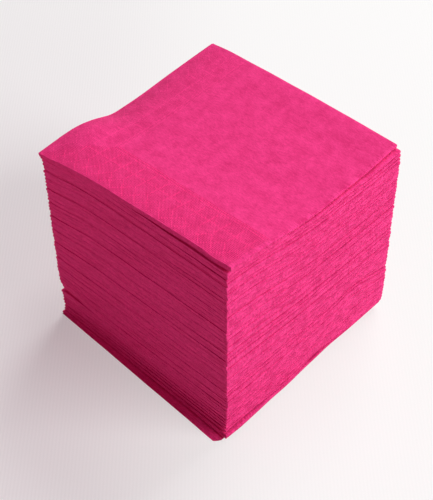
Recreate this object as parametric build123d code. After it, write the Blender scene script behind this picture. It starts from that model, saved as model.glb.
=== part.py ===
from build123d import *

import math
import os
import random

# Sheet of one napkin, open and flat
SHEET_SIDE = 254.0
LAYER = 0.46
LAYER_GAP = 0.04

# Pressed creases: straight facets round the second fold, blunt tip of the first
OUTER_FACETS = 4
INNER_FACETS = 2
CREASE_DEPTH = 0.80
CREASE_TIP = 0.36

# Pile
NAPKINS = 50
AIR = 0.41

# Bends of the topmost napkin, front to back: distance from the front edge, and height
FRONT_RISE = 0.8
HUMP_AT = 30.0
HUMP_RISE = 0.2
VALLEY_AT = 68.0
VALLEY_RISE = -4.2
BACK_RISE = -0.8

# Loose lay of the napkins on each other
SEED = 5
SHUFFLE = 0.2
TURN = 0.12
EDGE_SLIP = 0.5
SLIP_BEAT = 2.4

# The topmost napkin lies a little askew on the others
TOP_X = -0.55
TOP_Y = -0.5
TOP_TURN = 0.7

# The lowest napkins have slid and turned out to the front, the lowest one most
SLID_COUNT = 3
SLID_X = -1.0
SLID_Y = -2.4
SLID_TURN = -1.3

# Those on them stand back, the highest one most
SET_BACK_COUNT = 5
SET_BACK_X = 1.1
SET_BACK_Y = 0.8

# Distance between the middles of two layers, and the height of one folded napkin
STEP = LAYER + LAYER_GAP
THICKNESS = 4 * LAYER + 3 * LAYER_GAP
PITCH = THICKNESS + AIR

# Middle and half height of each band laid round the second fold
OUTER_FOLD = 1.5 * STEP
INNER_FOLD = 0.5 * STEP
DOUBLE_FOLD = STEP
SINGLE_HALF = LAYER / 2
DOUBLE_HALF = LAYER + LAYER_GAP / 2


def free_length(fold_radius):
    """Length of a layer from its fold to its free edge: half the sheet less a quarter turn."""
    return SHEET_SIDE / 2 - math.pi * fold_radius / 2


# Plan of one folded napkin, centred on itself, with its folds at the right and the back
OUTER_LENGTH = free_length(OUTER_FOLD)
INNER_LENGTH = free_length(INNER_FOLD)
NOSE = OUTER_FOLD + SINGLE_HALF
WIDTH = INNER_LENGTH + NOSE
DEPTH = free_length(STEP / 2) + DOUBLE_HALF
FOLD_X = WIDTH / 2 - NOSE
FRONT_Y = -DEPTH / 2
BACK_Y = DEPTH / 2
JOINED_Y = BACK_Y - CREASE_DEPTH


def crease(radius, facets):
    """Points round the second fold, from its upper side down to its lower side."""
    turns = [math.pi / 2 - math.pi * i / facets for i in range(facets + 1)]
    return [(FOLD_X + radius * math.cos(turn), radius * math.sin(turn)) for turn in turns]


def folded_band(middle, half, lengths, facets, y, rise):
    """Section across the second fold: a band that runs in, turns round and runs back."""
    outer_x, inner_x = (FOLD_X - length for length in lengths)
    outer = crease(middle + half, facets[0])
    inner = crease(middle - half, facets[1])
    outline = [(outer_x, middle + half), *outer, (outer_x, -middle - half)]
    outline += [(inner_x, half - middle), *reversed(inner), (inner_x, middle - half)]
    return Face(Wire.make_polygon([Vector(x, y, z + rise) for x, z in outline], close=True))


def outer_sheet(y, rise):
    """The outer layer, above and below all others."""
    lengths = (OUTER_LENGTH, OUTER_LENGTH)
    return folded_band(OUTER_FOLD, SINGLE_HALF, lengths, (OUTER_FACETS, INNER_FACETS), y, rise)


def inner_sheet(y, rise):
    """The inner layer, which creeps out past the outer one at the free edges."""
    lengths = (INNER_LENGTH, INNER_LENGTH)
    return folded_band(INNER_FOLD, SINGLE_HALF, lengths, (INNER_FACETS, 1), y, rise)


def joined_sheets(y, rise, half):
    """Both layers where the first fold joins them."""
    lengths = (OUTER_LENGTH, INNER_LENGTH)
    return folded_band(DOUBLE_FOLD, half, lengths, (OUTER_FACETS, 1), y, rise)


def rise_at(bends, y):
    """Height of the bent napkin at a place between front and back."""
    for (near_y, near_rise), (far_y, far_rise) in zip(bends, bends[1:]):
        if y <= far_y:
            break
    return near_rise + (far_rise - near_rise) * (y - near_y) / (far_y - near_y)


def bent_run(section, bends, start_y, end_y):
    """A section carried from front to back, up and down along the bends."""
    inside = [y for y, _ in bends if start_y < y < end_y]
    stops = [start_y, *inside, end_y]
    run = Part()
    for near, far in zip(stops, stops[1:]):
        way = Vector(0, far - near, rise_at(bends, far) - rise_at(bends, near))
        run += extrude(section(near, rise_at(bends, near)), amount=way.length, dir=way.normalized())
    return run


def folded_napkin(bends, slip):
    """One sheet folded in four: its two layers are joined at the back and turn at the right."""
    outer = bent_run(outer_sheet, bends, FRONT_Y, JOINED_Y)
    inner = bent_run(inner_sheet, bends, FRONT_Y + slip, JOINED_Y)
    full = joined_sheets(JOINED_Y, rise_at(bends, JOINED_Y), DOUBLE_HALF)
    tip = joined_sheets(BACK_Y, rise_at(bends, BACK_Y), CREASE_TIP / 2)
    return outer + inner + loft([full, tip], ruled=True)


def bends_at(level):
    """The pile lies flat on the floor (level 0) and bends more and more up to the top (1)."""
    top = [(0, FRONT_RISE), (HUMP_AT, HUMP_RISE), (VALLEY_AT, VALLEY_RISE), (DEPTH, BACK_RISE)]
    return [(FRONT_Y + y, rise * level) for y, rise in top]


def place_in_pile(index, chance):
    """Where one napkin lies, counted from the floor: sideways, front to back, and turned."""
    x = chance.uniform(-SHUFFLE, SHUFFLE)
    y = chance.uniform(-SHUFFLE, SHUFFLE)
    turn = chance.uniform(-TURN, TURN)
    if index < SLID_COUNT:
        share = (SLID_COUNT - index) / SLID_COUNT
        x += SLID_X * share
        y += SLID_Y * share
        turn += SLID_TURN * share
    elif index < SLID_COUNT + SET_BACK_COUNT:
        share = (index - SLID_COUNT + 1) / SET_BACK_COUNT
        x += SET_BACK_X * share
        y += SET_BACK_Y * share
    elif index == NAPKINS - 1:
        x += TOP_X
        y += TOP_Y
        turn += TOP_TURN
    return Pos(x, y, THICKNESS / 2 + PITCH * index) * Rot(Z=turn)


def pile():
    """All the napkins, lowest first."""
    chance = random.Random(SEED)
    napkins = []
    for index in range(NAPKINS):
        level = index / (NAPKINS - 1)
        slip = EDGE_SLIP * (1 + math.sin(SLIP_BEAT * index)) / 2
        napkin = folded_napkin(bends_at(level), slip)
        napkins.append(place_in_pile(index, chance) * napkin)
    return napkins


def floor_centre(solids):
    """Move that sets the middle of the pile's foot on the origin."""
    box = Compound(solids).bounding_box()
    return Pos(-(box.min.X + box.max.X) / 2, -(box.min.Y + box.max.Y) / 2, -box.min.Z)


napkins = pile()
home = floor_centre(napkins)
os.makedirs("parts", exist_ok=True)
for number, napkin in enumerate(napkins, start=1):
    export_step(home * napkin, f"parts/napkin_{number:02d}.step")
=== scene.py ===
import math

import bpy
import numpy as np
from mathutils import Matrix, Vector
from mathutils.geometry import delaunay_2d_cdt


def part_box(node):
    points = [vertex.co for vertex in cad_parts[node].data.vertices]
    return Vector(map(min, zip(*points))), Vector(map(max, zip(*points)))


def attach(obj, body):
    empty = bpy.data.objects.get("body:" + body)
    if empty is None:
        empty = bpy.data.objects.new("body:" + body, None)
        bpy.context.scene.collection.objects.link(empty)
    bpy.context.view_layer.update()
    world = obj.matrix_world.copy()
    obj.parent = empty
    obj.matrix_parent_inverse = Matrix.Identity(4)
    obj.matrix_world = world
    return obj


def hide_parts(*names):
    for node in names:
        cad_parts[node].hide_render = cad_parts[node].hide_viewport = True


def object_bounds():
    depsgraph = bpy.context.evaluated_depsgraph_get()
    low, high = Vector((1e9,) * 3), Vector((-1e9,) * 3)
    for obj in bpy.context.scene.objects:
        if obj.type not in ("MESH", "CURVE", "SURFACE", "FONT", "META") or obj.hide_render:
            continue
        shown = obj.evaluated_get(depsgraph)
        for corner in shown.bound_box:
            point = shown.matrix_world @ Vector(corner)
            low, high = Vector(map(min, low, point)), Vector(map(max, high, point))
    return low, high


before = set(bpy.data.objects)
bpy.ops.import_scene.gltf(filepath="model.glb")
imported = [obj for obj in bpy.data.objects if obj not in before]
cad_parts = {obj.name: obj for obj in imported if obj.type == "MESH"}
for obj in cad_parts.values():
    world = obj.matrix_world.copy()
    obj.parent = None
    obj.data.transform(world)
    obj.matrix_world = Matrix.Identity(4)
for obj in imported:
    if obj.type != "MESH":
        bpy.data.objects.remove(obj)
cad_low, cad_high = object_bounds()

MM = 0.001

# Places in the pile are shares of it: p from left to right, q from front to back, level from floor to
# top. Places on an open napkin are in mm: u from its second fold, v from its first one.

# One napkin, open and flat, and its layers when folded (mm)
SHEET_SIDE = 254.0
LAYER = 0.56
LAYER_GAP = 0.02

# Round of the second fold: 1 is a full round, less is pressed flatter
NOSE_ROUND = 0.27

# Air that always stays between two napkins, and how far the pile ends below the top of its solids (mm)
AIR = 0.02
TOP_MARGIN = 0.4

# Napkins at the foot that lie out of line with the rest of the pile
FOOT_NAPKINS = 10

# Bends of the topmost napkin (mm); the ones below it bend less and less
LEFT_EDGE_RISE = -0.4
BACK_CORNER_RISE = 1.6
LEFT_FRONT_LIFT = 5.2
RIGHT_FRONT_LIFT = 7.2
RIGHT_EDGE_RISE = -3.6
CORNER_DROOP = -5.5
HUMP_RISE = 2.7
OPEN_EDGE_SAG = -5.4
BACK_EDGE_RISE = 0.7
WAVINESS = 0.16

# Powers of the level by which some of these fade towards the floor
RIGHT_EDGE_FADE = 1.6
HUMP_FADE = 2
SAG_FADE = 1.5
WAVINESS_FADE = 0.7

# Lifts of the front: between which levels they come in, how far back they reach (q), how much farther
# the right one reaches at the top, and how far the droop of the left corner reaches
LIFT_LEVELS = (0.24, 0.78)
LEFT_LIFT_REACH = 0.29
RIGHT_LIFT_REACH = 0.42
RIGHT_LIFT_GROWTH = 0.13
DROOP_REACH = 0.18

# Back end of the right edge (q), and by what share the edge comes up again there
BACK_END = (0.8, 1.0)
BACK_END_SHARE = 0.42

# Sag of the open edge at the left: its deepest place, and how far it reaches to the front, to the back
# (q) and inwards (mm)
SAG_AT = 0.41
SAG_FRONT_REACH = 0.11
SAG_BACK_REACH = 0.47
SAG_INWARD_REACH = 11.3

# Hump by the open edge: its middle and width, inwards (mm) and along the edge (q)
HUMP_INWARD = (8.5, 12.3)
HUMP_ALONG = (0.18, 0.14)

# Hill and dropped back corner that only lower napkins have, at the right (mm): middle and width of both
# by level, and of the hill along the edge (q)
HILL_RISE = 3.0
RIGHT_CORNER_DROP = -3.0
HILL_LEVELS = (0.28, 0.10)
HILL_ALONG = (0.77, 0.12)

# Slow waves that run through the whole pile: how many, their lengths (mm), and the most that one shifts
# from napkin to napkin (radians)
WAVE_COUNT = 9
WAVE_LENGTHS = (22, 70)
WAVE_DRIFT = 0.16

# At its front corner the topmost napkin stands off and its layers spread (mm): from where to where along
# the front edge this grows (p), and how far back it reaches (q)
TOP_GAP = 1.25
TOP_SPREAD = 0.75
TOP_GAP_PLACE = (0.15, 1.0, 0.15)

# Kink in that front edge (mm), its place in the same way, and its middle and width within that place
TOP_KINK = -0.8
TOP_KINK_PLACE = (0.80, 1.05, 0.08)
TOP_KINK_SHAPE = (0.5, 0.25)

# Free edges that don't lie quite in line: height of their waves, how far the lower layers slip, and how
# far in both reach (mm)
RAGGED = 0.04
EDGE_SLIP = 0.10
RAGGED_REACH = 30

# Waves of those edges: length over 2 pi (mm), share of the layer's own turn, and height; and how much
# that turn grows from napkin to napkin and from layer to layer, and its share in the slip (radians)
FRONT_EDGE_WAVES = ((9.0, 1.0, 1.0), (3.7, 2.0, 0.6))
LEFT_EDGE_WAVES = ((8.0, 1.4, 1.0), (4.1, 1.0, 0.6))
NAPKIN_TURN = 1.7
LAYER_TURN = 2.3
SLIP_TURN = 1.3

# How far the left, front and right corners of the lowest napkins lie off those of the pile, from the
# lowest up, and by what share a napkin's upper layers go over to the next row (mm)
SPLAY = (
    ((-0.7, -1.4), (-3.6, -7.0), (-3.0, -3.0)),
    ((0.6, 0.1), (1.2, -2.6), (-1.0, -1.8)),
    ((0.9, 0.3), (0.6, -1.5), (0.2, -0.3)),
    ((1.0, 0.5), (0.3, -1.1), (0.3, 0.2)),
    ((0.6, 0.4), (0.2, -0.9), (0.4, 0.3)),
    ((0.7, 0.4), (0.2, -0.7), (0.4, 0.3)),
    ((0.8, 0.5), (0.1, -0.5), (0.5, 0.4)),
    ((0.3, 0.2), (0.1, -0.4), (0.6, 0.4)),
)
LAYER_FAN = 0.8

# The same corners of the napkins above those, of the top one and of the one under it (mm)
PILE_SPLAY = ((0.0, 0.0), (0.0, 0.0), (0.4, 0.4))
TOP_SPLAY = ((-0.9, 0.1), (0.9, 0.8), (-1.2, 0.0))
UNDER_TOP_SPLAY = ((-1.7, -0.2), (0.0, 0.0), (0.2, 0.2))

# Right end of a napkin, where the folds of the lowest ones stand out or in and hang down (p)
RIGHT_END = (0.8, 1.0)

# The right edge of low napkins runs in and out: napkin, and where along its edge how far out (mm)
FOOT_WAVES = {
    2: ((0.05, 0.8), (0.20, 0.4), (0.37, 0.6), (0.66, -0.5)),
    3: ((0.12, -0.5), (0.37, 0.9), (0.57, -1.2)),
    4: ((0.12, -0.4), (0.37, 0.5), (0.57, -1.0)),
    5: ((0.57, -0.5),),
}
FOOT_WAVE_WIDTH = 0.09

# The second napkin's front corner hangs down beside the lowest one (mm): over how many napkins this
# fades, and how far back it reaches (q)
FOOT_DROOP = -1.2
FOOT_DROOP_NAPKINS = 0.8
FOOT_DROOP_REACH = 0.5

# Folds that don't lie quite shut on the one below, at the right: how high (mm), how far in (p), and
# between which widths along the edge (q)
LOOSE_FOLD = 0.72
LOOSE_FOLD_DEPTH = 0.2
LOOSE_FOLD_WIDTHS = (0.25, 0.9)

# Left corners tucked in just above the lowest napkins: napkin, and how far (mm)
TUCKED = {9: 2.3, 10: 1.4, 11: 0.4}
TUCK_REACH = 20.0

# Layers of the lowest napkins end thinner at their free front edges: how many napkins, the share by
# which those of the lowest one are thinner, over what reach, and how much of it is all thin (mm)
THIN_NAPKINS = 6
THIN_EDGE = 0.5
THIN_REACH = 14.0
THIN_END = 1.0

# Gaps that show as dark lines: napkin above the gap, where (p, q), how far it reaches, how high (mm)
OPENINGS = [
    (50, 1.00, 0.86, 0.20, 0.16, 0.56),
    (49, 1.00, 0.92, 0.20, 0.20, 0.48),
    (46, 0.15, 0.00, 0.22, 0.10, 0.12),
    (46, 0.60, 0.00, 0.30, 0.08, 0.08),
    (44, 0.35, 0.00, 0.26, 0.08, 0.07),
    (42, 1.00, 0.62, 0.20, 0.26, 0.32),
    (40, 1.00, 0.72, 0.20, 0.30, 0.38),
    (39, 0.10, 0.00, 0.12, 0.08, 0.10),
    (37, 0.90, 0.00, 0.10, 0.08, 0.10),
    (36, 0.49, 0.00, 0.10, 0.06, 0.10),
    (36, 1.00, 0.72, 0.20, 0.42, 0.48),
    (34, 1.00, 0.85, 0.20, 0.26, 0.38),
    (33, 1.00, 0.75, 0.20, 0.34, 0.45),
    (32, 1.00, 0.80, 0.20, 0.30, 0.32),
    (27, 1.00, 0.30, 0.20, 0.60, 0.60),
    (27, 1.00, 0.80, 0.20, 0.30, 0.35),
    (26, 0.90, 0.00, 0.08, 0.08, 0.13),
    (19, 1.00, 0.25, 0.20, 0.22, 0.26),
    (16, 1.00, 0.05, 0.20, 0.70, 0.55),
    (15, 1.00, 0.82, 0.20, 0.22, 0.60),
    (15, 1.00, 0.05, 0.20, 0.20, 0.29),
    (13, 1.00, 0.00, 0.20, 0.35, 0.50),
    (12, 0.50, 0.00, 0.90, 0.08, 0.15),
    (11, 1.00, 0.08, 0.20, 0.20, 0.35),
    (10, 1.00, 0.00, 0.20, 0.30, 0.45),
    (9, 1.00, 0.90, 0.20, 0.18, 0.60),
    (9, 0.10, 0.00, 0.10, 0.08, 0.26),
    (9, 0.00, 0.00, 0.14, 0.14, 0.90),
    (8, 1.00, 0.12, 0.20, 0.22, 0.35),
    (8, 0.75, 0.00, 0.30, 0.08, 0.20),
    (7, 1.00, 0.00, 0.20, 0.30, 0.45),
    (6, 1.00, 0.00, 0.20, 0.22, 0.35),
    (6, 0.60, 0.00, 0.50, 0.07, 0.35),
    (5, 0.80, 0.00, 0.60, 0.07, 0.60),
    (4, 0.12, 0.00, 0.08, 0.08, 0.24),
    (4, 1.00, 0.00, 0.80, 0.08, 0.95),
    (3, 1.00, 0.00, 0.80, 0.08, 0.80),
    (3, 1.00, 0.48, 0.16, 0.55, 1.15),
    (2, 1.00, 0.00, 1.10, 0.08, 1.10),
]

# Mesh of the lower napkins: distances at its folds and edges and between them, and rows of points by
# each cut edge, by the second fold outside and inside, and by the first fold (mm)
EDGE_PITCH = 2.6
INNER_PITCH = 8.4
BORDER_ROWS = (0.0, 1.0, 2.6)
NOSE_ROWS_OUTER = [0.0, 0.35, 0.7, 1.0, 1.2, 1.37, 2.4, 4.6]
NOSE_ROWS_INNER = [0.0, 0.23, 0.46, 2.4, 4.6]
BACK_ROWS = [0.0, 0.23, 0.46]

# Mesh of the top napkin: how far from the folds its fine points start (mm), and which of them stay
# where nothing is embossed
FINE_START = 2.0
COARSE_STEP = 3

# Plans are rounded to this many digits; how near points may merge and how near the edge counts as on it
# (mm); and the angle from which a crease is shaded crisp (degrees)
PLAN_DIGITS = 3
MERGE_DISTANCE = 1e-4
ON_EDGE = 0.01
CRISP_ANGLE = 52

# Embossed border of the top napkin: spacing and depths of its dots, widths of its bands, and how far from
# the second and the first fold it ends (mm)
DOT_PITCH = 0.9
DOT_DEPTH = 0.26
LINE_DEPTH = 0.40
BAND_FRONT = 28.8
BAND_LEFT = 27.0
BORDER_END_U = 1.5
BORDER_END_V = 0.6

# Its pattern in rows of dots, counted from the edge: first and last row of the lozenges, of the bars and
# of the links between these, and how far apart bars and dotted links are
LOZENGE_ROWS = (2, 11)
BAR_ROWS = (13, 25)
BAR_SPACING = 9
LINK_ROWS = (19, 20)
LINK_SPACING = 3

# Share of the front band's depth to which the left band is pressed, and how much paler the border is
LEFT_BAND_SHARE = 0.4
BAND_TONE = 0.10

# Between these distances from the second fold its crumpled fibres fade (mm)
CREASE_START = 1.4
CREASE_REACH = 3.4

# Tissue: size of its crepe and depth of its relief (m), shares of crepe and fibres in that relief, how
# dense the crepe is along its streaks (1 as across them), and fibres and clouds in a metre
CREPE_SIZE = 0.0011
RELIEF = 0.00028
CREPE_DEPTH = 0.6
FIBRE_DEPTH = 0.4
CREPE_STRETCH = 0.45
FIBRE_SCALE = 1500.0
CLOUD_SCALE = 150.0

# Dye of the tissue: its deep and its pale colour, at which tones they are reached, shares of crepe,
# fibres and clouds in the tone, their contrast, what a crease adds to it, and how much paler a pressed
# line is
DEEP_DYE = (0.70, 0.013, 0.156, 1.0)
PALE_DYE = (0.96, 0.045, 0.270, 1.0)
DYE_TONES = (0.34, 0.66)
CREPE_TONE = 0.30
FIBRE_TONE = 0.35
CLOUD_TONE = 0.35
DYE_CONTRAST = 1.5
CREASE_CONTRAST = 1.8
PRESSED_TONE = 0.36

# Table: half its side (m), distance between its ribs (mm), and the painted shade in their grooves and
# painted light on them
TABLE_HALF_SIDE = 3.0
TABLE_RIB = 1.85
RIB_SHADE = (0.815, 0.82, 0.815, 1.0)
RIB_LIGHT = (0.865, 0.87, 0.865, 1.0)

# Blender's wave texture turns by this many radians in one unit
WAVE_TEXTURE_TURN = 20

# Painted light on the table: how much nearer to white the camera sees it on the shaded side of the pile, on
# the window's side and far away (places from the middle of the pile in metres)
SHADED_SIDE_PAINTED_LIGHT = 0.36
WINDOW_SIDE_PAINTED_LIGHT = 0.70
SHADE_END = -0.10
WINDOW_START = 0.045
FAR_PAINTED_LIGHT = 0.97
PAINTED_LIGHT_START = 0.14
PAINTED_LIGHT_END = 1.0
PAINTED_LIGHT_COLOUR = (1.0, 0.995, 0.985, 1.0)

# Room: rosy light from all around, the backdrop that the camera sees, and what the lamps shine on (m)
ROOM_COLOUR = (1.0, 0.70, 0.80, 1.0)
ROOM_STRENGTH = 0.03
BACKDROP_COLOUR = (0.93, 0.925, 0.92, 1.0)
LAMP_TARGET = (0, 0, 0.06)

# Photograph: frame in pixels, focal length in pixels, and where the camera stands (mm, degrees)
FRAME_LONG_SIDE = 500
FOCAL = 1172.0
CAMERA_AZIMUTH = 44.1
CAMERA_ELEVATION = 44.4
CAMERA_ROLL = -0.6
CAMERA_DISTANCE = 618.7
CAMERA_TARGET = (5.8, -10.3, 58.0)

# Worked out from these
HALF_SIDE = SHEET_SIDE / 2
FOLDED_SIDE = HALF_SIDE
STEP = LAYER + LAYER_GAP
BACK_FOLD = STEP / 2
NOSE_FOLD = STEP
HALF_THICKNESS = NOSE_FOLD + BACK_FOLD + LAYER / 2
NAPKINS = sorted(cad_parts)
TOP_NAPKIN = NAPKINS[-1]
PILE_HEIGHT = cad_high.z / MM - TOP_MARGIN

rng = np.random.default_rng(11)


def eased(value, start, end):
    """Smooth step from 0 at the start to 1 at the end."""
    t = np.clip((value - start) / (end - start), 0, 1)
    return t * t * (3 - 2 * t)


def bell(value, middle, width):
    """Smooth hill of height 1."""
    return np.exp(-(((value - middle) / width) ** 2))


def falling(q, reach):
    """Soft fall from 1 at the front edge to 0."""
    return 0.5 + 0.5 * np.cos(math.pi * np.clip(q / reach, 0, 1))


# ---- Where the napkins lie


def lie_of(name):
    """Middle of a napkin's outline (mm) and how far it is turned."""
    points = np.array([v.co[:2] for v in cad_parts[name].data.vertices]) / MM
    front = points[(points @ (1, 1)).argmin()]
    back = points[(points @ (1, -1)).argmin()]
    low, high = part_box(name)
    middle = (low + high) / 2 / MM
    return middle.x, middle.y, math.atan2(front[0] - back[0], back[1] - front[1])


LIES = {name: lie_of(name) for name in NAPKINS}
MAIN_X = float(np.mean([LIES[name][0] for name in NAPKINS[FOOT_NAPKINS:]]))
MAIN_Y = float(np.mean([LIES[name][1] for name in NAPKINS[FOOT_NAPKINS:]]))


def shares(x, y):
    """Turns a place in the pile (mm) into its p and q."""
    return (x - MAIN_X) / FOLDED_SIDE + 0.5, (y - MAIN_Y) / FOLDED_SIDE + 0.5


# ---- Bends of the pile

# Slow waves: wavelength (mm), direction, phase, change per napkin
WAVES = [
    (
        rng.uniform(*WAVE_LENGTHS),
        rng.uniform(0, math.pi),
        rng.uniform(0, 2 * math.pi),
        rng.uniform(-WAVE_DRIFT, WAVE_DRIFT),
    )
    for _ in range(WAVE_COUNT)
]

# Each napkin's own gap under its fold at the right: how high (mm), where along it, how far it reaches
LOOSE_FOLDS = [
    (LOOSE_FOLD * rng.uniform() ** 2, rng.uniform(), rng.uniform(*LOOSE_FOLD_WIDTHS)) for _ in NAPKINS
]


def slow_waves(count, x, y):
    """Soft unevenness between napkins, alike in neighbours."""
    total = np.zeros_like(x)
    for length, way, phase, drift in WAVES:
        along = x * math.cos(way) + y * math.sin(way)
        total += np.sin(2 * math.pi * along / length + phase + drift * count)
    return total / math.sqrt(len(WAVES))


def rise(level, p, q):
    """How far the pile is bent up or down (mm)."""
    lifted = eased(level, *LIFT_LEVELS)
    right = RIGHT_FRONT_LIFT * lifted * falling(q, RIGHT_LIFT_REACH + RIGHT_LIFT_GROWTH * level)
    right += RIGHT_EDGE_RISE * level**RIGHT_EDGE_FADE * (1 - BACK_END_SHARE * eased(q, *BACK_END))
    right += HILL_RISE * bell(level, *HILL_LEVELS) * bell(q, *HILL_ALONG)
    right += RIGHT_CORNER_DROP * bell(level, *HILL_LEVELS) * eased(q, *BACK_END)
    left = level * (LEFT_EDGE_RISE * (1 - q) + BACK_CORNER_RISE * q)
    left += LEFT_FRONT_LIFT * lifted * falling(q, LEFT_LIFT_REACH)
    droop = CORNER_DROOP * lifted * bell(np.hypot(p, q), 0, DROOP_REACH)
    inward = np.clip(p, 0, 1) * FOLDED_SIDE
    sag_reach = np.where(q < SAG_AT, SAG_FRONT_REACH, SAG_BACK_REACH)
    sag = OPEN_EDGE_SAG * level**SAG_FADE * bell(q, SAG_AT, sag_reach) * np.exp(-inward / SAG_INWARD_REACH)
    hump = HUMP_RISE * level**HUMP_FADE * bell(inward, *HUMP_INWARD) * bell(q, *HUMP_ALONG)
    back = BACK_EDGE_RISE * level * 4 * p * (1 - p) * np.clip(q, 0, 1) ** 3
    return p * right + (1 - p) * left + droop + sag + hump + back


def slot_floor(count, x, y):
    """Height (mm) at which the napkin after this many others begins."""
    level = count / len(NAPKINS)
    p, q = shares(x, y)
    loose = WAVINESS * level**WAVINESS_FADE * slow_waves(count, x, y)
    foot = (count > 0) * FOOT_DROOP * bell(count, 1, FOOT_DROOP_NAPKINS)
    foot = foot * eased(p, *RIGHT_END) * falling(q, FOOT_DROOP_REACH)
    return level * PILE_HEIGHT + rise(level, p, q) + loose + foot


def opening(number, x, y):
    """Extra air (mm) under a napkin where it stands off from the one below."""
    p, q = shares(x, y)
    total = np.zeros_like(x)
    for above, at_p, at_q, wide_p, wide_q, height in OPENINGS:
        if above == number:
            total += height * bell(p, at_p, wide_p) * bell(q, at_q, wide_q)
    height, at_q, wide_q = LOOSE_FOLDS[number - 1]
    return total + (number > 1) * height * bell(p, 1, LOOSE_FOLD_DEPTH) * bell(q, at_q, wide_q)


def near_front_edge(x, y, start, end, depth):
    """Grows from 0 to 1 along the front edge, between two marks, and fades from that edge inwards."""
    p, q = shares(x, y)
    return eased(p, start, end) * bell(np.clip(q, 0, 1), 0, depth)


# ---- Folding


def fold_in_four(u, v, offset):
    """Brings points of the open sheet to their place in the folded napkin, centred on itself.

    The first fold, at the back, lays one half (v above 0) round the other. The second fold,
    at the right, lays both round themselves, with u above 0 on the upper side.
    """
    back = np.clip(v / BACK_FOLD, -math.pi / 2, math.pi / 2)
    layer = BACK_FOLD * np.sin(back)
    front_reach = np.maximum(np.abs(v) - BACK_FOLD * math.pi / 2, 0)
    y = (BACK_FOLD + offset) * np.cos(back) - front_reach
    radius = NOSE_FOLD + layer
    nose = np.clip(u / radius, -math.pi / 2, math.pi / 2)
    outward = radius + offset * np.sin(back)
    left_reach = np.maximum(np.abs(u) - radius * math.pi / 2, 0)
    x = outward * np.maximum(np.cos(nose), 0) ** NOSE_ROUND - left_reach
    z = outward * np.sin(nose)
    inner_quarter = (NOSE_FOLD - BACK_FOLD) * math.pi / 2
    middle_x = (HALF_THICKNESS - HALF_SIDE + inner_quarter) / 2
    middle_y = (BACK_FOLD + LAYER / 2 - HALF_SIDE + BACK_FOLD * math.pi / 2) / 2
    return x - middle_x, y - middle_y, z


def edge_waves(waves, along, turn):
    """Waves of a free edge, different from layer to layer."""
    return sum(height * np.sin(along / length + share * turn) for length, share, height in waves)


def ragged(number, u, v, x, y):
    """Lets the four layers end a little out of line at the front and at the left."""
    layer = 2 * (u > 0) + (v > 0)
    turn = number * NAPKIN_TURN + layer * LAYER_TURN
    near_front = eased(-y, FOLDED_SIDE / 2 - RAGGED_REACH, FOLDED_SIDE / 2)
    near_left = eased(-x, FOLDED_SIDE / 2 - RAGGED_REACH, FOLDED_SIDE / 2)
    slip = EDGE_SLIP * (0.5 + 0.5 * np.sin(turn * SLIP_TURN)) * (v < 0)
    move_x = RAGGED * edge_waves(LEFT_EDGE_WAVES, y, turn) * near_left
    move_y = (RAGGED * edge_waves(FRONT_EDGE_WAVES, x, turn) + slip) * near_front
    return x + move_x, y + move_y


def splayed(corners, p, q):
    """Moves a napkin's left, front and right corners each by its own amount, and the rest with them."""
    (left_x, left_y), (front_x, front_y), (right_x, right_y) = corners
    back_x, back_y = (left_x + right_x) / 2, (left_y + right_y) / 2
    move_x = (1 - q) * ((1 - p) * left_x + p * front_x) + q * ((1 - p) * back_x + p * right_x)
    move_y = (1 - q) * ((1 - p) * left_y + p * front_y) + q * ((1 - p) * back_y + p * right_y)
    return move_x, move_y


def foot_wave(number, p, q):
    """How far the right edge of one of the lowest napkins stands out or in (mm)."""
    out = sum(depth * bell(q, at, FOOT_WAVE_WIDTH) for at, depth in FOOT_WAVES.get(number, ()))
    return out * eased(p, *RIGHT_END)


def place_in_pile(number, name, x, y, share):
    """Lays a napkin's points where they belong in the pile (mm); share runs from its lowest layer up."""
    p = x / FOLDED_SIDE + 0.5
    q = y / FOLDED_SIDE + 0.5
    if number <= len(SPLAY):
        low_x, low_y = splayed(SPLAY[number - 1], p, q)
        high_x, high_y = splayed(SPLAY[min(number, len(SPLAY) - 1)], p, q)
        fan = LAYER_FAN * share
        wave = foot_wave(number, p, q)
        pile_x = MAIN_X + x + low_x + fan * (high_x - low_x) + wave
        return pile_x, MAIN_Y + y + low_y + fan * (high_y - low_y)
    corners = {len(NAPKINS): TOP_SPLAY, len(NAPKINS) - 1: UNDER_TOP_SPLAY}.get(number, PILE_SPLAY)
    move_x, move_y = splayed(corners, p, q)
    tuck = TUCKED.get(number, 0.0) * bell(np.hypot(p, q), 0, TUCK_REACH / FOLDED_SIDE)
    at_x, at_y, turn = LIES[name]
    turned_x = x * math.cos(turn) - y * math.sin(turn)
    turned_y = x * math.sin(turn) + y * math.cos(turn)
    return at_x + turned_x + move_x + tuck, at_y + turned_y + move_y + tuck / 2


def thinned(number, v):
    """Share of its thickness that a layer of the lowest napkins keeps towards its free front edge."""
    thinner = THIN_EDGE * max(1 - (number - 1) / THIN_NAPKINS, 0)
    return 1 - thinner * eased(np.abs(v), HALF_SIDE - THIN_REACH, HALF_SIDE - THIN_END)


def lay_napkin(number, name, u, v, offset, pressed=0.0):
    """Folds the sheet and lays it in its slot of the pile. Returns points in metres."""
    x, y, z = fold_in_four(u, v, offset * thinned(number, v))
    x, y = ragged(number, u, v, x, y)
    share = (z + HALF_THICKNESS) / (2 * HALF_THICKNESS)
    pile_x, pile_y = place_in_pile(number, name, x, y, share)
    low = slot_floor(number - 1, pile_x, pile_y) + AIR * (number > 1) + opening(number, pile_x, pile_y)
    high = slot_floor(number, pile_x, pile_y) - AIR
    if name == TOP_NAPKIN:
        apart = near_front_edge(pile_x, pile_y, *TOP_GAP_PLACE)
        kink = TOP_KINK * bell(near_front_edge(pile_x, pile_y, *TOP_KINK_PLACE), *TOP_KINK_SHAPE)
        low = low + TOP_GAP * apart + kink
        high = high + (TOP_GAP + TOP_SPREAD) * apart + kink
    pile_z = low + share * (high - low) - pressed
    return np.stack([pile_x, pile_y, pile_z], axis=1) * MM


# ---- Meshes


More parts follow.
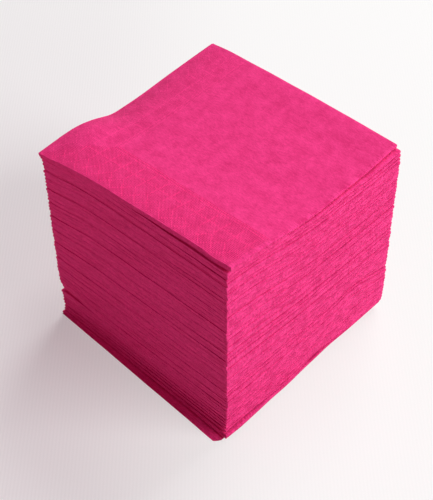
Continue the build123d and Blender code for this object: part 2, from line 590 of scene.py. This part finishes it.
def plan_lines(pitch):
    """Evenly spaced marks from edge to edge of the open sheet, the same on both halves."""
    count = round(HALF_SIDE / pitch)
    half = np.linspace(0, HALF_SIDE, count + 1)
    return np.concatenate([-half[:0:-1], half])


def both_ways(values):
    """The same marks on both sides of a fold."""
    return np.concatenate([-np.asarray(values)[::-1], np.asarray(values)])


def crossing(us, vs):
    """All crossings of two sets of lines."""
    grid = np.meshgrid(us, vs)
    return np.stack([grid[0].ravel(), grid[1].ravel()], axis=1)


def sheet_points():
    """Points over the open sheet: close at its borders and folds, wide apart between them."""
    rows = both_ways([HALF_SIDE - row for row in BORDER_ROWS])
    marks = np.concatenate([plan_lines(EDGE_PITCH), rows, both_ways(BACK_ROWS)])
    marks_u = np.concatenate([plan_lines(EDGE_PITCH), rows, both_ways(NOSE_ROWS_OUTER)])
    inner = plan_lines(INNER_PITCH)
    inner = inner[np.abs(inner) < HALF_SIDE - 2 * BORDER_ROWS[-1]]
    inner = inner[inner != 0]
    outer_nose = crossing(both_ways(NOSE_ROWS_OUTER), marks[marks >= 0])
    inner_nose = crossing(both_ways(NOSE_ROWS_INNER), marks[marks <= 0])
    back = crossing(marks_u, both_ways(BACK_ROWS))
    sides = [crossing(rows, marks), crossing(marks_u, rows)]
    return np.concatenate([outer_nose, inner_nose, back, *sides, crossing(inner, inner)])


def fine_sheet_points():
    """Points of the top napkin: close enough in its upper layer for each embossed dot."""
    base = sheet_points()
    half_dot = DOT_PITCH / 2
    fine = HALF_SIDE - np.arange(0, HALF_SIDE - FINE_START, half_dot)
    grid = crossing(fine, fine)
    steps = np.round((HALF_SIDE - grid) / half_dot).astype(int)
    on_front = steps[:, 1] <= round(BAND_FRONT / half_dot) + 1
    on_left = steps[:, 0] <= round(BAND_LEFT / half_dot) + 1
    coarse = (steps % COARSE_STEP == 0).all(axis=1)
    grid = grid[on_front | on_left | coarse]
    upper_side = (base[:, 0] > FINE_START) & (base[:, 1] > FINE_START)
    nose = crossing(NOSE_ROWS_OUTER, fine)
    return np.concatenate([base[~upper_side], grid, nose])


def with_border(points, border):
    """Replaces the border points of a plan by others."""
    inside = (np.abs(points) < HALF_SIDE - ON_EDGE).all(axis=1)
    return np.concatenate([points[inside], border])


def triangulated(points):
    """Joins the points of a plan into triangles."""
    points = np.unique(np.round(points, PLAN_DIGITS), axis=0)
    result = delaunay_2d_cdt([Vector(p) for p in points], [], [], 0, MERGE_DISTANCE)
    return np.array([v[:] for v in result[0]]), np.array(result[2])


def open_border(faces):
    """Directed border edges of a plan."""
    edges = np.concatenate([faces[:, [0, 1]], faces[:, [1, 2]], faces[:, [2, 0]]])
    keys = np.sort(edges, axis=1)
    _, first, counts = np.unique(keys, axis=0, return_index=True, return_counts=True)
    return edges[first[counts == 1]]


def skin(outside, inside):
    """Triangles of the closed skin of a sheet: its two sides and the cut edge between them."""
    out_points, out_faces = outside
    in_points, in_faces = inside
    index = {tuple(np.round(p, PLAN_DIGITS)): i for i, p in enumerate(in_points)}
    rim = []
    for a, b in open_border(out_faces):
        c = index[tuple(np.round(out_points[a], PLAN_DIGITS))] + len(out_points)
        d = index[tuple(np.round(out_points[b], PLAN_DIGITS))] + len(out_points)
        rim += [(b, a, c), (b, c, d)]
    return np.concatenate([out_faces, in_faces[:, ::-1] + len(out_points), np.array(rim)])


def plain_plan():
    """Both sides of a lower napkin's sheet and the skin round them."""
    side = triangulated(sheet_points())
    return side, side, skin(side, side)


def embossed_plan():
    """Both sides of the top napkin's sheet, fine outside and plain inside, and the skin round them."""
    outside = triangulated(fine_sheet_points())
    edge = (np.abs(outside[0]) > HALF_SIDE - ON_EDGE).any(axis=1)
    inside = triangulated(with_border(sheet_points(), outside[0][edge]))
    return outside, inside, skin(outside, inside)


def napkin_object(name, points, faces, sheet_uv, dots, tone, creased):
    """Makes the mesh of one napkin, with the open sheet as its UV map and crisp pressed dots."""
    mesh = bpy.data.meshes.new(name)
    mesh.vertices.add(len(points))
    mesh.vertices.foreach_set("co", points.ravel())
    mesh.loops.add(faces.size)
    mesh.loops.foreach_set("vertex_index", faces.ravel().astype(np.int32))
    mesh.polygons.add(len(faces))
    mesh.polygons.foreach_set("loop_start", np.arange(0, faces.size, 3, dtype=np.int32))
    mesh.update(calc_edges=True)
    mesh.validate()
    layer = mesh.uv_layers.new(name="open_sheet")
    corners = np.zeros(len(mesh.loops), np.int32)
    mesh.loops.foreach_get("vertex_index", corners)
    layer.uv.foreach_set("vector", (sheet_uv[corners] * MM).ravel())
    mesh.shade_smooth()
    mesh.set_sharp_from_angle(angle=math.radians(CRISP_ANGLE))
    crisp = (dots[faces] != 0).any(axis=1)
    mesh.polygons.foreach_set("use_smooth", ~crisp)
    for label, values in (("pressed", tone), ("creased", creased)):
        carried = mesh.attributes.new(label, "FLOAT", "POINT")
        carried.data.foreach_set("value", values.astype(np.float32))
    piece = bpy.data.objects.new(name, mesh)
    bpy.context.scene.collection.objects.link(piece)
    return piece


# ---- Embossed border


def dot_rows(distance):
    """1 in the middle of each row of dots, 0 between them."""
    return 0.5 + 0.5 * np.cos(2 * math.pi * distance / DOT_PITCH)


def embossing(u, v):
    """Dots pressed into the border of the top napkin, and how strongly it is pressed.

    The dots go up to 1 on the dotted lines and down to -1 between them, less in the left band.
    """
    from_left = HALF_SIDE - u
    from_front = HALF_SIDE - v
    column = np.round(from_left / DOT_PITCH)
    row = np.round(from_front / DOT_PITCH)
    front_rows = round(BAND_FRONT / DOT_PITCH)
    left_rows = round(BAND_LEFT / DOT_PITCH)
    on_front = (row <= front_rows) & (column >= row * left_rows / front_rows)
    along = np.where(on_front, column, row)
    across = np.round(np.where(on_front, row * left_rows / front_rows, column))
    rim = (across >= left_rows - 2) & (across != left_rows - 1)
    lozenge_start, lozenge_end = LOZENGE_ROWS
    half_lozenge = lozenge_end - lozenge_start
    zigzag = np.abs((along % (2 * half_lozenge)) - half_lozenge)
    lozenges = (across == lozenge_start + zigzag) | (across == lozenge_end - zigzag)
    bars = (across >= BAR_ROWS[0]) & (across <= BAR_ROWS[1]) & (along % BAR_SPACING == 0)
    links = (across == LINK_ROWS[0]) | (across == LINK_ROWS[1]) & (along % LINK_SPACING == 0)
    lines = rim | lozenges | bars | links
    in_band = (row <= front_rows) | (column <= left_rows)
    on_border = in_band & (u > BORDER_END_U) & (v > BORDER_END_V)
    strength = np.where(on_front, 1.0, LEFT_BAND_SHARE) * on_border
    dots = dot_rows(from_left) * dot_rows(from_front)
    return np.where(lines, dots, -dots) * strength, strength


# ---- Materials


def feed(tree, socket, value):
    """Sets a socket to a number or a colour, or links the output of another node to it."""
    if isinstance(value, bpy.types.NodeSocket):
        tree.links.new(value, socket)
    else:
        socket.default_value = value


def new_node(tree, kind, **inputs):
    """Adds a node and feeds its inputs, which are named with _ for a space."""
    node = tree.nodes.new(kind)
    for key, value in inputs.items():
        feed(tree, node.inputs[key.replace("_", " ")], value)
    return node


def maths(tree, operation, *values):
    """Adds a maths node for numbers or outputs of other nodes, and returns its result."""
    node = tree.nodes.new("ShaderNodeMath")
    node.operation = operation
    for socket, value in zip(node.inputs, values):
        feed(tree, socket, value)
    return node.outputs[0]


def weighed(tree, *parts):
    """Adds up outputs, each times its own weight."""
    products = [maths(tree, "MULTIPLY", output, weight) for output, weight in parts]
    total = products[0]
    for product in products[1:]:
        total = maths(tree, "ADD", product, total)
    return total


def eased_range(tree, value, start, end, low, high):
    """Goes smoothly from low to high while a value goes from start to end."""
    node = new_node(tree, "ShaderNodeMapRange", Value=value, From_Min=start, From_Max=end)
    node.interpolation_type = "SMOOTHSTEP"
    feed(tree, node.inputs["To Min"], low)
    feed(tree, node.inputs["To Max"], high)
    return node.outputs["Result"]


def mixed(tree, share, first, second):
    """Goes from one shader to another by a share."""
    mix = new_node(tree, "ShaderNodeMixShader", Fac=share)
    feed(tree, mix.inputs[1], first)
    feed(tree, mix.inputs[2], second)
    return mix.outputs["Shader"]


def carried_value(tree, name):
    """Reads one of the values that each napkin's mesh carries."""
    attribute = tree.nodes.new("ShaderNodeAttribute")
    attribute.attribute_name = name
    return attribute.outputs["Fac"]


def seen_directly(tree):
    """1 for the camera and for what it sees in or through glossy and clear things, 0 for all other light."""
    rays = tree.nodes.new("ShaderNodeLightPath").outputs
    seen = maths(tree, "MAXIMUM", rays["Is Camera Ray"], rays["Is Glossy Ray"])
    return maths(tree, "MAXIMUM", seen, rays["Is Transmission Ray"])


def tissue_grain():
    """Crepe and fibres of tissue: streaks across the sheet, fine fibres and soft clouds."""
    group = bpy.data.node_groups.new("Tissue grain", "ShaderNodeTree")
    face = group.interface
    face.new_socket(name="Sheet", in_out="INPUT", socket_type="NodeSocketVector")
    numbers = {
        "Crepe Size": CREPE_SIZE,
        "Crepe Depth": CREPE_DEPTH,
        "Fibre Depth": FIBRE_DEPTH,
        "Contrast": 1.0,
    }
    for name, value in numbers.items():
        face.new_socket(name=name, in_out="INPUT", socket_type="NodeSocketFloat").default_value = value
    face.new_socket(name="Height", in_out="OUTPUT", socket_type="NodeSocketFloat")
    face.new_socket(name="Tone", in_out="OUTPUT", socket_type="NodeSocketFloat")
    given = group.nodes.new("NodeGroupInput").outputs
    stretched = new_node(
        group, "ShaderNodeMapping", Vector=given["Sheet"], Scale=(CREPE_STRETCH, 1.0, 1.0)
    )
    crepe = new_node(
        group,
        "ShaderNodeTexNoise",
        Vector=stretched.outputs["Vector"],
        Scale=maths(group, "DIVIDE", 1.0, given["Crepe Size"]),
        Detail=3.0,
        Roughness=0.6,
        Distortion=0.35,
    ).outputs["Fac"]
    fibre = new_node(
        group, "ShaderNodeTexNoise", Vector=given["Sheet"], Scale=FIBRE_SCALE, Detail=4.0, Roughness=0.7
    ).outputs["Fac"]
    clouds = new_node(
        group, "ShaderNodeTexNoise", Vector=given["Sheet"], Scale=CLOUD_SCALE, Detail=4.0, Roughness=0.6
    ).outputs["Fac"]
    height = weighed(group, (fibre, given["Fibre Depth"]), (crepe, given["Crepe Depth"]))
    tone = weighed(group, (crepe, CREPE_TONE), (fibre, FIBRE_TONE), (clouds, CLOUD_TONE))
    from_middle = maths(group, "SUBTRACT", tone, 0.5)
    contrasted = maths(group, "MULTIPLY_ADD", from_middle, given["Contrast"], 0.5)
    new_node(group, "NodeGroupOutput", Height=height, Tone=contrasted)
    return group


def magenta_tissue(grain):
    """Dyed tissue: matt, slightly downy, with crepe, fibres and an uneven dye."""
    material = bpy.data.materials.new("magenta_tissue")
    material.use_nodes = True
    tree = material.node_tree
    weave = tree.nodes.new("ShaderNodeGroup")
    weave.node_tree = grain
    sheet = tree.nodes.new("ShaderNodeTexCoord")
    feed(tree, weave.inputs["Sheet"], sheet.outputs["UV"])
    contrast = maths(tree, "MULTIPLY_ADD", carried_value(tree, "creased"), CREASE_CONTRAST, DYE_CONTRAST)
    feed(tree, weave.inputs["Contrast"], contrast)
    tone = maths(tree, "MULTIPLY_ADD", carried_value(tree, "pressed"), PRESSED_TONE, weave.outputs["Tone"])
    dye = new_node(tree, "ShaderNodeValToRGB", Fac=tone)
    for mark, place, colour in zip(dye.color_ramp.elements, DYE_TONES, (DEEP_DYE, PALE_DYE)):
        mark.position = place
        mark.color = colour
    bump = new_node(tree, "ShaderNodeBump", Strength=1.0, Distance=RELIEF, Height=weave.outputs["Height"])
    shader = tree.nodes["Principled BSDF"]
    shader.inputs["Roughness"].default_value = 0.9
    shader.inputs["Specular IOR Level"].default_value = 0.3
    shader.inputs["Sheen Weight"].default_value = 0.07
    shader.inputs["Sheen Roughness"].default_value = 0.5
    shader.inputs["Sheen Tint"].default_value = (1.0, 0.75, 0.85, 1.0)
    feed(tree, shader.inputs["Base Color"], dye.outputs["Color"])
    feed(tree, shader.inputs["Normal"], bump.outputs["Normal"])
    return material


def table_paper():
    """Pale table: off-white with fine ribs in painted shade and light, and painted light that shows it to
    the camera nearer to white, more on the window's side of the pile and most so far away.
    """
    material = bpy.data.materials.new("pale_table")
    material.use_nodes = True
    tree = material.node_tree
    place = tree.nodes.new("ShaderNodeTexCoord").outputs["Object"]
    way = (0, 0, math.radians(-CAMERA_AZIMUTH))
    turned = new_node(tree, "ShaderNodeMapping", Vector=place, Rotation=way).outputs["Vector"]
    ribs = new_node(
        tree,
        "ShaderNodeTexWave",
        Vector=turned,
        Scale=2 * math.pi / (WAVE_TEXTURE_TURN * TABLE_RIB * MM),
        Distortion=0.6,
        Detail=1.0,
        Detail_Scale=0.3,
    )
    ribs.bands_direction = "X"
    # Painted shade in the grooves and painted light on the ribs, as colour stripes
    paper = new_node(tree, "ShaderNodeValToRGB", Fac=ribs.outputs["Fac"])
    for mark, colour in zip(paper.color_ramp.elements, (RIB_SHADE, RIB_LIGHT)):
        mark.color = colour
    shader = tree.nodes["Principled BSDF"]
    shader.inputs["Roughness"].default_value = 0.8
    shader.inputs["Specular IOR Level"].default_value = 0.2
    feed(tree, shader.inputs["Base Color"], paper.outputs["Color"])
    # Painted light: the camera and reflections see the table whitened, less on the shaded side of the pile
    # than on the window's side and most far away, which washes out its shadow there
    sideways = new_node(tree, "ShaderNodeSeparateXYZ", Vector=turned).outputs["X"]
    near_glow = eased_range(tree, sideways, SHADE_END, WINDOW_START, SHADED_SIDE_PAINTED_LIGHT, WINDOW_SIDE_PAINTED_LIGHT)
    distance = tree.nodes.new("ShaderNodeVectorMath")
    distance.operation = "LENGTH"
    feed(tree, distance.inputs[0], place)
    painted_light_share = eased_range(tree, distance.outputs["Value"], PAINTED_LIGHT_START, PAINTED_LIGHT_END, near_glow, FAR_PAINTED_LIGHT)
    share = maths(tree, "MULTIPLY", seen_directly(tree), painted_light_share)
    white = new_node(tree, "ShaderNodeEmission", Color=PAINTED_LIGHT_COLOUR)
    shown = mixed(tree, share, shader.outputs["BSDF"], white.outputs["Emission"])
    feed(tree, tree.nodes["Material Output"].inputs["Surface"], shown)
    return material


# ---- Napkins

tissue = magenta_tissue(tissue_grain())
plain = plain_plan()

for number, name in enumerate(NAPKINS, start=1):
    is_top = name == TOP_NAPKIN
    outside, inside, faces = embossed_plan() if is_top else plain
    outer_u, outer_v = outside[0].T
    inner_u, inner_v = inside[0].T
    dots, border = embossing(outer_u, outer_v) if is_top else np.zeros((2, len(outer_u)))
    pressed = np.where(dots > 0, LINE_DEPTH, -DOT_DEPTH) * dots
    outer_side = lay_napkin(number, name, outer_u, outer_v, LAYER / 2, pressed)
    inner_side = lay_napkin(number, name, inner_u, inner_v, -LAYER / 2)
    points = np.concatenate([outer_side, inner_side])
    sheet_uv = np.concatenate([outside[0], inside[0]]) + rng.uniform(-SHEET_SIDE, SHEET_SIDE, 2)
    dots = np.append(dots, np.zeros(len(inner_u)))
    tone = dots + BAND_TONE * np.append(border, np.zeros(len(inner_u)))
    creased = 1 - eased(np.abs(np.append(outer_u, inner_u)), CREASE_START, CREASE_REACH)
    piece = napkin_object("tissue_" + name, points, faces, sheet_uv, dots, tone, creased)
    piece.data.materials.append(tissue)
    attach(piece, "root")
    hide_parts(name)


# ---- Table, light and camera


def table_top():
    """Flat table under the pile."""
    half = TABLE_HALF_SIDE
    corners = [(-half, -half, 0), (half, -half, 0), (half, half, 0), (-half, half, 0)]
    mesh = bpy.data.meshes.new("table")
    mesh.from_pydata(corners, [], [(0, 1, 2, 3)])
    table = bpy.data.objects.new("table", mesh)
    table.data.materials.append(table_paper())
    bpy.context.scene.collection.objects.link(table)


def soft_lamp(name, place, size, power, colour):
    """A square lamp that shines on the middle of the pile (m, W)."""
    data = bpy.data.lights.new(name, "AREA")
    data.shape = "SQUARE"
    data.size = size
    data.energy = power
    data.color = colour
    lamp = bpy.data.objects.new(name, data)
    lamp.location = place
    towards = Vector(LAMP_TARGET) - Vector(place)
    lamp.rotation_mode = "QUATERNION"
    lamp.rotation_quaternion = towards.to_track_quat("-Z", "Y")
    bpy.context.scene.collection.objects.link(lamp)


def room():
    """Dim rosy light from all around, and a pale backdrop for the camera."""
    world = bpy.data.worlds.new("room")
    world.use_nodes = True
    tree = world.node_tree
    dim = tree.nodes["Background"]
    dim.inputs["Color"].default_value = ROOM_COLOUR
    dim.inputs["Strength"].default_value = ROOM_STRENGTH
    backdrop = new_node(tree, "ShaderNodeBackground", Color=BACKDROP_COLOUR)
    shown = mixed(tree, seen_directly(tree), dim.outputs["Background"], backdrop.outputs["Background"])
    feed(tree, tree.nodes["World Output"].inputs["Surface"], shown)
    bpy.context.scene.world = world


def camera():
    """Camera of the photograph."""
    azimuth = math.radians(CAMERA_AZIMUTH)
    elevation = math.radians(CAMERA_ELEVATION)
    roll = math.radians(CAMERA_ROLL)
    level = math.cos(elevation)
    back = Vector((math.sin(azimuth) * level, -math.cos(azimuth) * level, math.sin(elevation)))
    level_right = Vector((math.cos(azimuth), math.sin(azimuth), 0))
    level_up = back.cross(level_right)
    right = math.cos(roll) * level_right + math.sin(roll) * level_up
    up = math.cos(roll) * level_up - math.sin(roll) * level_right
    target = Vector(CAMERA_TARGET) + Vector((MAIN_X, MAIN_Y, 0))
    eye = (target + back * CAMERA_DISTANCE) * MM
    data = bpy.data.cameras.new("camera")
    data.sensor_width = 36.0
    data.sensor_fit = "AUTO"
    data.lens = FOCAL * data.sensor_width / FRAME_LONG_SIDE
    data.clip_start = 0.01
    data.clip_end = 50.0
    holder = bpy.data.objects.new("camera", data)
    holder.matrix_world = Matrix.Translation(eye) @ Matrix((right, up, back)).transposed().to_4x4()
    bpy.context.scene.collection.objects.link(holder)
    bpy.context.scene.camera = holder


table_top()
soft_lamp("window", place=(1.26, 0.46, 0.95), size=0.9, power=20.6, colour=(1.0, 1.0, 1.0))
soft_lamp("far_window", place=(-0.2, 1.1, 1.2), size=0.9, power=17.2, colour=(1.0, 1.0, 1.0))
soft_lamp("near_glow", place=(-0.28, -0.55, 0.42), size=0.35, power=0.86, colour=(1.0, 0.20, 0.54))
room()
camera()

view = bpy.context.scene.view_settings
view.view_transform = "Standard"
